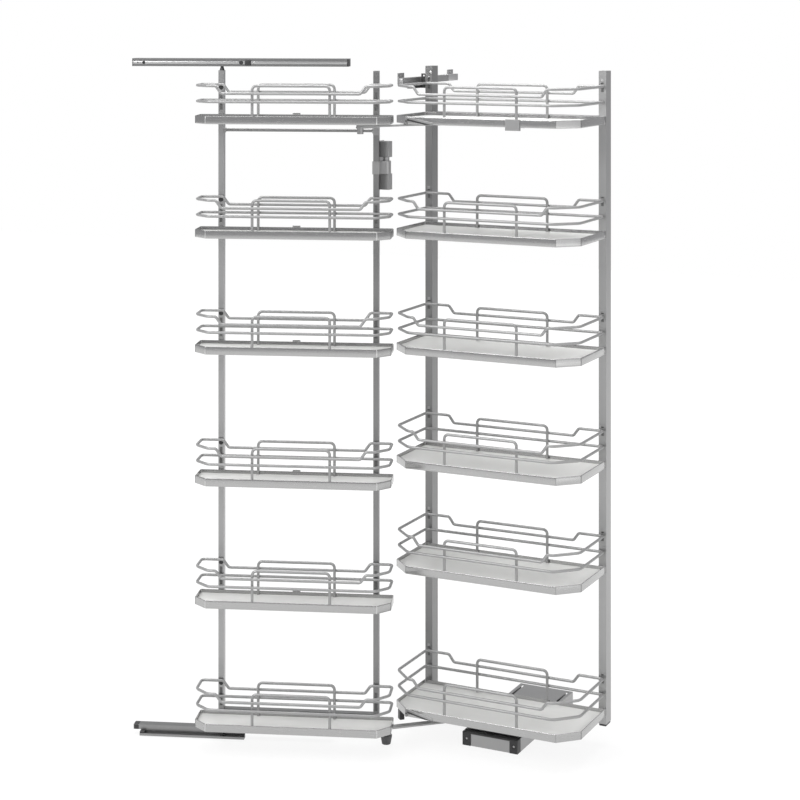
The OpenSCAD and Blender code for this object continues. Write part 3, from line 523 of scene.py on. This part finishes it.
def make_railing(tray):
    """A low hoop, a stepped hoop above it and two bridges, welded where they cross."""
    bm = bmesh.new()
    corners = tray.outline(HOOP_INSET, SIDE_INSET)
    bends = [WIRE_BEND] * 2 + [CUT_BEND] * 4
    low = [p + Vector((0, 0, LOW_WIRE)) for p in rounded(corners, bends, steps=6)]
    tube(bm, low, closed=True)

    # The upper hoop steps down along both long sides; its corners are at the high level
    near, far = tray.step, tray.length - tray.step
    back, front = SIDE_INSET, tray.depth - SIDE_INSET
    high = [Vector((p.x, p.y, HIGH_WIRE)) for p in corners]
    loop = [
        Vector((near, back, HIGH_WIRE)), Vector((near + STEP_RUN, back, MID_WIRE)),
        Vector((far - STEP_RUN, back, MID_WIRE)), Vector((far, back, HIGH_WIRE)),
        high[1], high[2], high[3],
        Vector((far, front, HIGH_WIRE)), Vector((far - STEP_RUN, front, MID_WIRE)),
        Vector((near + STEP_RUN, front, MID_WIRE)), Vector((near, front, HIGH_WIRE)),
        high[4], high[5], high[0],
    ]
    bends = [STEP_BEND] * 4 + [WIRE_BEND, CUT_BEND, CUT_BEND]
    bends += [STEP_BEND] * 4 + [CUT_BEND, CUT_BEND, WIRE_BEND]
    tube(bm, rounded(loop, bends, steps=5), closed=True)

    middle, arc_steps = tray.length / 2, 6
    for y, hoop_y in ((LEG_INSET, back), (tray.depth - LEG_INSET, front)):
        arch = [
            Vector((middle + x, y, z))
            for x, z in (
                (-BRIDGE_HALF, BOARD_TOP), (-BRIDGE_HALF, HIGH_WIRE),
                (BRIDGE_HALF, HIGH_WIRE), (BRIDGE_HALF, BOARD_TOP),
            )
        ]
        # The arcs of the two upper corners; the feet stay square
        arcs = rounded(arch, BRIDGE_BEND, arc_steps)[arc_steps + 1:3 * (arc_steps + 1)]
        tube(bm, [arch[0], *arcs, arch[3]], closed=False)
        for x in (-BRIDGE_HALF, BRIDGE_HALF):
            for z in (LOW_WIRE, MID_WIRE):
                weld = Matrix.Translation((middle + x, (y + hoop_y) / 2, z))
                bmesh.ops.create_icosphere(
                    bm, subdivisions=2, radius=WIRE_R * WELD_SWELL,
                    matrix=weld @ Matrix.Diagonal((1, 1, WELD_SQUASH, 1)),
                )
    tray.piece("railing", bm, WIRE_METAL, "bright_metal", sharp=60)


for trays in TRAY_SETS.values():
    for tray in trays:
        make_rim(tray)
        make_board(tray)
        make_railing(tray)

# --- Frame parts: the CAD shapes with soft edges ---
RUNNER_SKIN = 0.0012
PAD_TOP, PAD_FRONT = 0.079, 0.02

for post in POSTS:
    soften(post, POST_EDGE, POST_LONG_EDGE)
softened = {node: soften(node, PART_EDGE) for node in NODE_FINISH if node not in POSTS}

# The runner's faces inside its housing get the dark material as painted shade; the rest pad under
# the lowest rim is dark plastic
runner_low, runner_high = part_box("base_runner")
darken(softened["base_runner"], lambda c: all(
    runner_low[i] + RUNNER_SKIN < c[i] < runner_high[i] - RUNNER_SKIN for i in range(3)
))
darken(softened["rim_brackets"], lambda c: c.z < PAD_TOP and c.y > PAD_FRONT)


# --- Post trim: painted shade in the openings, fillers, foot plugs and buttons ---
def plate_post_openings(name, unit, x, spans, mat):
    """Plates a little inside a post's openings, for each tray that hangs on it; dark plates paint
    the shade in the openings, plates in the post's metal fill part of one.

    A span is an opening's low and high edge from the tray's level, its width, and the plate's
    depth behind the post's face.
    """
    if unit == "inner":
        width, face, into, place = INNER_POST_W, INNER_POST_FACE, 1, None
    else:
        width, face, into, place = FRONT_POST_W, FRONT_POST_FACE, -1, SWUNG
    bm = bmesh.new()
    for tray in TRAY_SETS[unit]:
        for low, high, across, depth in spans:
            near, far = sorted((face + into * depth, face + into * (depth + OPENING_PLATE_T)))
            add_block(
                bm, (x + (width - across) / 2, near, tray.level + low),
                (x + (width + across) / 2, far, tray.level + high), edge=0.00015,
            )
    finish_piece(name, bm, mat, f"{unit}_unit", place)


# Spans of the openings that get plates: dark ones paint the shade in lug slots, holes and long
# slots; the covers fill the top of a hole in the post's metal
LUG_SPAN = (-(RIM_H + LUG_SLOT_H) / 2, -(RIM_H - LUG_SLOT_H) / 2, LUG_SLOT_W, 0.0009)
INNER_OPENING_SHADES = [LUG_SPAN, (0.061, 0.072, HOLE_W, 0.0007), (0.0808, 0.0848, HOLE_W, 0.0028)]
INNER_COVERS = [(0.0842, 0.092, HOLE_W, 0.0001)]
FRONT_OPENING_SHADES = [LUG_SPAN, (0.010, 0.056, HOLE_W, 0.0005)]
FOOT_PLUG_IN, FOOT_PLUG_DROP, FOOT_PLUG_RISE = 0.0004, 0.0055, 0.0008
TRAY_BUTTON_RISE = 0.067

# Inner posts: dark plates of painted shade in the openings, covers in the post's metal, and foot
# plugs
for side, x in zip(("left", "right"), INNER_POST_XS):
    plate_post_openings(f"inner_{side}_liners", "inner", x, INNER_OPENING_SHADES, SHADE_AND_REFLECTION_PAINT)
    plate_post_openings(f"inner_{side}_covers", "inner", x, INNER_COVERS, POST_METAL)
    foot = bmesh.new()
    add_block(
        foot,
        (x + FOOT_PLUG_IN, INNER_POST_FACE + FOOT_PLUG_IN, INNER_POST_FOOT - FOOT_PLUG_DROP),
        (x + INNER_POST_W - FOOT_PLUG_IN, INNER_POST_FACE + INNER_POST_D - FOOT_PLUG_IN,
         INNER_POST_FOOT + FOOT_PLUG_RISE), edge=0.0022,
    )
    finish_piece(f"inner_{side}_foot_plug", foot, DARK_PLASTIC_AND_SHADE, "inner_unit")
# Front posts: dark plates of painted shade in the openings
for side, x in zip(("hinge", "outer"), FRONT_POST_XS):
    plate_post_openings(f"{side}_post_liners", "front", x, FRONT_OPENING_SHADES, SHADE_AND_REFLECTION_PAINT)

buttons = bmesh.new()
for tray in TRAY_SETS["front"]:
    at = (
        FRONT_POST_XS[1] + FRONT_POST_W / 2, FRONT_POST_FACE - SUNK,
        tray.level + TRAY_BUTTON_RISE,
    )
    add_button(buttons, at, PLUS_Y, radius=0.0056, height=0.0016)
finish_piece("outer_post_buttons", buttons, DARK_PLASTIC_AND_SHADE, "front_unit", SWUNG)

# --- Runner: screws in its cheeks, plugs over the floor screws in its cover ---
CHEEK_SCREW_IN, CHEEK_SCREW_Z, CHEEK_RECESS = 0.011, 0.017, 0.0034
COVER_PLUG_R, COVER_PLUG_H = 0.0055, 0.0018
FLOOR_SCREWS_X, FLOOR_SCREWS_Y = 0.076, 0.330

screws = bmesh.new()
cheek_low, cheek_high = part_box("runner_end_caps")
for x in (cheek_low.x + CHEEK_SCREW_IN, cheek_high.x - CHEEK_SCREW_IN):
    at = (x, cheek_low.y + CHEEK_RECESS, CHEEK_SCREW_Z)
    add_screw(screws, at, MINUS_Y, radius=0.0033, height=0.0022)
finish_piece("runner_screws", screws, SCREW_METAL, "cabinet_fittings")

plugs = bmesh.new()
cover_x = ((runner_low + runner_high) / 2).x
cover_y = (cheek_high.y + runner_high.y) / 2
for sx in (-FLOOR_SCREWS_X / 2, FLOOR_SCREWS_X / 2):
    for sy in (-FLOOR_SCREWS_Y / 2, FLOOR_SCREWS_Y / 2):
        at = (cover_x + sx, cover_y + sy, runner_high.z - COVER_PLUG_H)
        add_button(plugs, at, UP, COVER_PLUG_R, COVER_PLUG_H, FLAT_PROFILE)
finish_piece("runner_cover_plugs", plugs, RUNNER_METAL, "cabinet_fittings")

# --- Rim trim: painted dark reflections and highlights over the bends, painted shadows under straps ---
DARK_LINE_W, DARK_LINE_T = 0.0014, 0.0012
HIGHLIGHT_STRIP_W, HIGHLIGHT_STRIP_T = 0.0028, 0.0014
STRIP_IN = 0.00006
STRIP_MARGIN = 0.0008
STRIP_EDGE_SHARE = 0.3
HALF_BEND = 22.5


def add_strip(bm, tray, x, y, heading, width, thick):
    """An upright strip over a rim's bend, its face turned to the heading, in degrees; dark strips
    paint the bend's reflection line, light ones its highlight.
    """
    strip = bmesh.new()
    add_block(
        strip, (-thick, -width / 2, STRIP_MARGIN - RIM_H), (0, width / 2, -STRIP_MARGIN),
        edge=thick * STRIP_EDGE_SHARE,
    )
    strip.transform(
        tray.place @ Matrix.Translation((x, y, 0))
        @ Matrix.Rotation(math.radians(heading), 4, "Z") @ Matrix.Translation((-STRIP_IN, 0, 0))
    )
    mesh = bpy.data.meshes.new("strip")
    strip.to_mesh(mesh)
    strip.free()
    bm.from_mesh(mesh)
    bpy.data.meshes.remove(mesh)


# Dark strips over the bends are painted dark reflection lines; the light strips over the front
# trays' front bends are painted highlights
painted_bend_highlights = bmesh.new()
for unit, trays in TRAY_SETS.items():
    painted_dark_bend_lines = bmesh.new()
    for tray in trays:
        shoulder, right, front = tray.depth - tray.cut, tray.length - tray.cut, tray.depth
        add_strip(painted_dark_bend_lines, tray, 0.0, shoulder, 180 - HALF_BEND, DARK_LINE_W, DARK_LINE_T)
        add_strip(painted_dark_bend_lines, tray, tray.length, shoulder, HALF_BEND, DARK_LINE_W, DARK_LINE_T)
        if unit == "inner":
            add_strip(painted_dark_bend_lines, tray, right, front, 90 - HALF_BEND, DARK_LINE_W / 2, DARK_LINE_T)
        else:
            add_strip(painted_bend_highlights, tray, tray.cut, front, 90 + HALF_BEND, HIGHLIGHT_STRIP_W, HIGHLIGHT_STRIP_T)
            add_strip(painted_bend_highlights, tray, right, front, 90 - HALF_BEND, HIGHLIGHT_STRIP_W, HIGHLIGHT_STRIP_T)
    finish_piece(f"{unit}_rim_seams", painted_dark_bend_lines, SHADE_AND_REFLECTION_PAINT, f"{unit}_unit")
finish_piece("front_rim_clips", painted_bend_highlights, SCREW_METAL, "front_unit")

# Outline of the painted shadow under a strap's edge, as x and height from the tray's level
STRAP_SHADOW = [(0.0605, -0.0064), (0.1265, -0.0196), (0.1085, -0.0197), (0.0605, -0.0105)]
STRAP_SHADOW_YS = -0.0030, -0.0037
STRAP_RIVET_X, STRAP_RIVET_Y, STRAP_RIVET_DROP = 0.0575, -0.0044, 0.0115

strap_shadows_and_rivets = bmesh.new()
for tray in (TRAY_SETS["inner"][0], TRAY_SETS["inner"][-1]):
    loft(strap_shadows_and_rivets, [
        [strap_shadows_and_rivets.verts.new((x, y, tray.level + z)) for x, z in STRAP_SHADOW]
        for y in STRAP_SHADOW_YS
    ])
    at = (STRAP_RIVET_X, STRAP_RIVET_Y, tray.level - STRAP_RIVET_DROP)
    add_button(strap_shadows_and_rivets, at, MINUS_Y, radius=0.0021, height=0.0006)
finish_piece("strap_shadows_and_rivets", strap_shadows_and_rivets, DARK_PLASTIC_AND_SHADE, "inner_unit")

# --- Top of the frames: a screw and rivet on the left inner post, rod collars, guide sleeve ---
GUIDE_SCREW_AT = (0.021, INNER_POST_FACE, 1.687)
GUIDE_RIVET_AT = (0.0165, INNER_POST_FACE + SUNK, 1.672)
ROD_Y, ROD_Z = 0.0165, 1.547
COLLARS = ((0.0302, 1), (0.4108, -1))
SLEEVE_START = 0.392

guide_screw = bmesh.new()
add_screw(guide_screw, GUIDE_SCREW_AT, MINUS_Y, radius=0.0042, height=0.0018)
finish_piece("guide_screw", guide_screw, SCREW_METAL, "inner_unit")
guide_rivet = bmesh.new()
add_button(guide_rivet, GUIDE_RIVET_AT, MINUS_Y, radius=0.0032, height=0.0007)
finish_piece("guide_rivet", guide_rivet, DARK_PLASTIC_AND_SHADE, "inner_unit")

collars = bmesh.new()
for x, toward in COLLARS:
    add_button(collars, (x, ROD_Y, ROD_Z), (toward, 0, 0), radius=0.0072, height=0.0034)
finish_piece("rod_collars", collars, FRAME_METAL, "front_unit", SWUNG)

sleeve = bmesh.new()
guide_low, guide_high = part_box("top_guide_rail")
start, end = guide_low.y + SUNK, guide_high.y - SUNK
for low, high, edge in (
    ((-0.0085, SLEEVE_START, 1.6582), (-0.0070, end, 1.6758), 0.0005),  # side
    ((-0.0220, SLEEVE_START, 1.6746), (-0.0070, end, 1.6758), 0.0005),  # top
    ((-0.0216, start, 1.6584), (-0.0084, start + 0.0020, 1.6746), 0.0004),  # front cover
):
    add_block(sleeve, low, high, edge)
finish_piece("guide_sleeve", sleeve, BAND_METAL, "cabinet_fittings")

# --- Door rails: raised band, catch, screws and end caps; x along the front unit ---
RAIL_Z = 1.708
RAIL_MIDDLE = RAIL_Z + 0.0095
RAIL_FACE = 0.0218
RAIL_SCREW_X, RAIL_DARK_SCREW_X = 0.334, 0.619
# Buttons on the upper rail's face: x, radius and height
RAIL_BUTTONS = ((0.3675, 0.0052, 0.0016), (0.6345, 0.0021, 0.0008))

band = bmesh.new()
add_block(
    band, (0.0935, RAIL_FACE - 0.0004, RAIL_Z + 0.0062),
    (0.6485, RAIL_FACE + 0.0003, RAIL_Z + 0.0128), edge=0.0003,
)
finish_piece("upper_rail_band", band, BAND_METAL, "door_rails", SWUNG)
rail_screws = bmesh.new()
screw_at = (RAIL_SCREW_X, RAIL_FACE, RAIL_MIDDLE)
add_screw(rail_screws, screw_at, PLUS_Y, radius=0.0028, height=0.0012)
finish_piece("upper_rail_screws", rail_screws, SCREW_METAL, "door_rails", SWUNG)

rail_caps = bmesh.new()
for low, high, edge in (
    # Hinge-side end cap of the upper rail
    ((0.0930, -0.0156, RAIL_Z + 0.0004), (0.0975, RAIL_FACE + 0.0008, RAIL_Z + 0.0196), 0.0012),
    # Its catch
    ((0.342, RAIL_FACE - 0.0004, RAIL_Z + 0.003),
     (0.358, RAIL_FACE + 0.0016, RAIL_Z + 0.016), 0.0008),
    # Its outer end cap
    ((0.6468, -0.0158, RAIL_Z + 0.0004), (0.6489, RAIL_FACE + 0.0004, RAIL_Z + 0.0196), 0.0006),
    # End cap of the lower rail
    ((0.6345, -0.0162, 0.0132), (0.6488, 0.0078, 0.0266), 0.0024),
):
    add_block(rail_caps, low, high, edge)
for x, radius, height in RAIL_BUTTONS:
    add_button(rail_caps, (x, RAIL_FACE - SUNK, RAIL_MIDDLE), PLUS_Y, radius, height)
screw_at = (RAIL_DARK_SCREW_X, RAIL_FACE, RAIL_MIDDLE)
add_screw(rail_caps, screw_at, PLUS_Y, radius=0.0040, height=0.0014)
finish_piece("door_rail_caps", rail_caps, DARK_PLASTIC_AND_SHADE, "door_rails", SWUNG)

# --- Floor, world, lamps and camera ---
FLOOR_SIZE = 17
FLOOR_COLOR = (0.86, 0.86, 0.86)
FLOOR_WHITE_SHARE = 0.86
FLOOR_FADE_NEAR, FLOOR_FADE_FAR = 0.7, 2.6
FLOOR_LIGHT_NEAR, FLOOR_LIGHT_FAR = 1.03, 1.15
ROOM_RAMP = ((0.45, (0.50, 0.50, 0.51, 1)), (0.95, (0.95, 0.95, 0.95, 1)))
LAMPS = (
    # Name, place, target, size and power
    ("key", (-1.6, -3.2, 3.4), (0.1, 0, 0.8), (1.8, 1.8), 78),
    ("side", (3.4, -1.7, 1.3), (0.1, 0, 1.0), (2.2, 2.8), 12),
    ("top", (0.0, 0.2, 4.2), (0, 0, 0), (3.0, 3.0), 105),
)


def any_ray(tree, *kinds):
    """A socket that is 1 for a light path of any of the kinds."""
    path = tree.nodes.new("ShaderNodeLightPath")
    seen = path.outputs[kinds[0]]
    for kind in kinds[1:]:
        most = tree.nodes.new("ShaderNodeMath")
        most.operation = "MAXIMUM"
        tree.links.new(seen, most.inputs[0])
        tree.links.new(path.outputs[kind], most.inputs[1])
        seen = most.outputs["Value"]
    return seen


def mix_surfaces(tree, share, first, second, output):
    """Sends a mix of two shaders to the tree's output node."""
    mix = tree.nodes.new("ShaderNodeMixShader")
    tree.links.new(share, mix.inputs["Fac"])
    tree.links.new(first, mix.inputs[1])
    tree.links.new(second, mix.inputs[2])
    tree.links.new(mix.outputs["Shader"], tree.nodes[output].inputs["Surface"])


def make_floor():
    """A matt floor that takes shadows; its white to camera and reflections grows outwards."""
    mat, tree, shader = new_material("floor_white", FLOOR_COLOR, metallic=0.0, roughness=0.9)
    white = tree.nodes.new("ShaderNodeEmission")
    coords = tree.nodes.new("ShaderNodeTexCoord")
    distance = tree.nodes.new("ShaderNodeVectorMath")
    distance.operation = "LENGTH"
    tree.links.new(coords.outputs["Object"], distance.inputs[0])
    strength = map_range(
        tree, distance.outputs["Value"],
        FLOOR_FADE_NEAR, FLOOR_FADE_FAR, FLOOR_LIGHT_NEAR, FLOOR_LIGHT_FAR,
    )
    tree.links.new(strength, white.inputs["Strength"])
    share = tree.nodes.new("ShaderNodeMath")
    share.operation = "MULTIPLY"
    share.inputs[1].default_value = FLOOR_WHITE_SHARE
    seen = any_ray(tree, "Is Camera Ray", "Is Glossy Ray", "Is Transmission Ray")
    tree.links.new(seen, share.inputs[0])
    mix_surfaces(
        tree, share.outputs["Value"], shader.outputs["BSDF"], white.outputs["Emission"],
        "Material Output",
    )
    bpy.ops.mesh.primitive_plane_add(size=FLOOR_SIZE, location=(0, 0, 0))
    floor = bpy.context.object
    floor.name = "floor"
    floor.data.materials.append(mat)


def make_world():
    """White to the camera; to everything else a soft grey that grows lighter upwards."""
    world = bpy.data.worlds.new("studio")
    bpy.context.scene.world = world
    world.use_nodes = True
    tree = world.node_tree
    backdrop = tree.nodes["Background"]
    backdrop.inputs["Color"].default_value = (1, 1, 1, 1)
    room = tree.nodes.new("ShaderNodeBackground")
    coords = tree.nodes.new("ShaderNodeTexCoord")
    split = tree.nodes.new("ShaderNodeSeparateXYZ")
    ramp = tree.nodes.new("ShaderNodeValToRGB")
    for element, (position, color) in zip(ramp.color_ramp.elements, ROOM_RAMP):
        element.position = position
        element.color = color
    tree.links.new(coords.outputs["Generated"], split.inputs["Vector"])
    tree.links.new(split.outputs["Z"], ramp.inputs["Fac"])
    tree.links.new(ramp.outputs["Color"], room.inputs["Color"])
    mix_surfaces(
        tree, any_ray(tree, "Is Camera Ray"), room.outputs["Background"],
        backdrop.outputs["Background"], "World Output",
    )


def add_lamp(name, at, target, size, power):
    """A rectangular lamp that faces its target."""
    lamp = bpy.data.lights.new(name, "AREA")
    lamp.shape = "RECTANGLE"
    lamp.size, lamp.size_y = size
    lamp.energy = power
    holder = bpy.data.objects.new(name, lamp)
    holder.location = at
    holder.rotation_euler = (Vector(target) - Vector(at)).to_track_quat("-Z", "Y").to_euler()
    bpy.context.scene.collection.objects.link(holder)


def make_camera():
    """A level camera, shifted so that its horizon is where the photograph's is."""
    camera = bpy.data.cameras.new("camera")
    camera.sensor_width = SENSOR_MM
    camera.lens = SENSOR_MM * FOCAL_PX / FRAME_PX
    camera.shift_y = (HORIZON_PX - FRAME_PX / 2) / FRAME_PX
    holder = bpy.data.objects.new("camera", camera)
    holder.location = CAMERA_AT
    holder.rotation_euler = (math.pi / 2, 0, CAMERA_TURN)
    bpy.context.scene.collection.objects.link(holder)
    bpy.context.scene.camera = holder


make_floor()
make_world()
for lamp in LAMPS:
    add_lamp(*lamp)
make_camera()
bpy.context.scene.view_settings.view_transform = "Standard"
